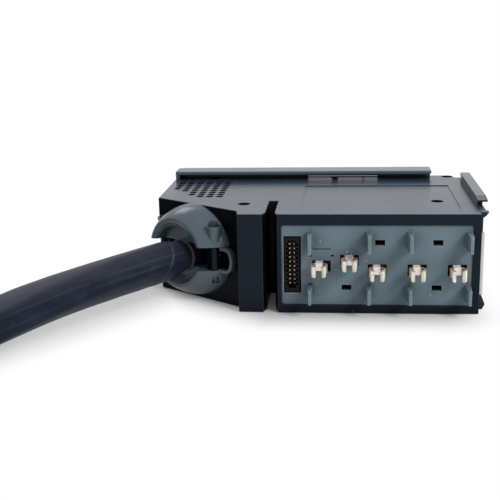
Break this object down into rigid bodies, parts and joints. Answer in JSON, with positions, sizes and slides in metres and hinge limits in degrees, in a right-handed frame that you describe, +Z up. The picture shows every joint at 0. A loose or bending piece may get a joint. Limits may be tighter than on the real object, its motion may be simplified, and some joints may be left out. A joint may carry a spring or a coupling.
{
  "type": "power distribution module",
  "caption": "Plug-in power distribution module: flat black housing with busbar jaws and a signal socket, grey bezel and guides, breaker behind, clamped output cable to an in-line connector.",
  "frame": {"origin": "on the housing's bottom plane, at mid length and mid depth of the housing", "axes": "+X along the housing's length away from the cable clamp, +Y from the busbar jaws to the breaker's handle, +Z up"},
  "size_m": [0.5645, 0.3235, 0.0623],
  "materials": {
    "black_shell": "satin, fine moulded grain",
    "black_guide": "satin",
    "grey_plastic": "satin, fine moulded grain",
    "grey_panel": "matt",
    "pale_pad": "matt",
    "black_socket": "matt",
    "black_steel": "blackened",
    "zinc_steel": "zinc plated",
    "tinned_copper": "tinned copper with bare sheared edges",
    "gilt_contact": "gilt",
    "board": "solder mask",
    "transformer_case": "potted",
    "ring_plastic": "matt",
    "breaker_case": "satin",
    "handle_plastic": "smooth",
    "black_wire": "smooth",
    "blue_wire": "smooth",
    "green_wire": "smooth",
    "cable_sheath": "matt, ridged lengthwise",
    "tie_fabric": "woven hook band",
    "connector_plastic": "satin",
    "face_plastic": "matt",
    "nut_plastic": "satin"
  },
  "bodies": {
    "module": {"housing_upper": "black_shell", "housing_lower": "black_shell", "housing_screws": "zinc_steel", "front_bezel": "grey_plastic", "end_guide": "black_guide", "rail_base": "black_guide", "guide_rail": "grey_plastic", "end_pad": "pale_pad", "connector_panel": "grey_panel", "contact_insert": "grey_panel", "contact_neutral": "tinned_copper", "contact_earth": "tinned_copper", "contact_line_1": "tinned_copper", "contact_line_2": "tinned_copper", "contact_line_3": "tinned_copper", "signal_connector": "black_socket", "signal_contacts": "gilt_contact", "sensor_board": "board", "current_transformers": "transformer_case", "clamp_upper": "grey_plastic", "clamp_lower": "grey_plastic", "clamp_screws": "black_steel", "entry_ring": "ring_plastic", "mounting_rail": "zinc_steel", "breaker_pole_1": "breaker_case", "breaker_pole_2": "breaker_case", "breaker_pole_3": "breaker_case", "handle_pin": "zinc_steel", "line_wires": "black_wire", "load_wires": "black_wire", "neutral_wire": "blue_wire", "earth_wire": "green_wire", "cable_lead": "cable_sheath", "cable_coil": "cable_sheath", "cable_tail": "cable_sheath", "coil_tie": "tie_fabric", "connector_shell": "connector_plastic", "connector_face": "face_plastic", "connector_nut": "nut_plastic"},
    "handle": {"breaker_handle": "handle_plastic"}
  },
  "joints": [
    {"name": "handle_turn", "type": "hinge", "parent": "module", "child": "handle", "pos_m": [0.0181, 0.0555, 0.0285], "axis": [0, 0, -1], "range_deg": [0, 80]}
  ]
}
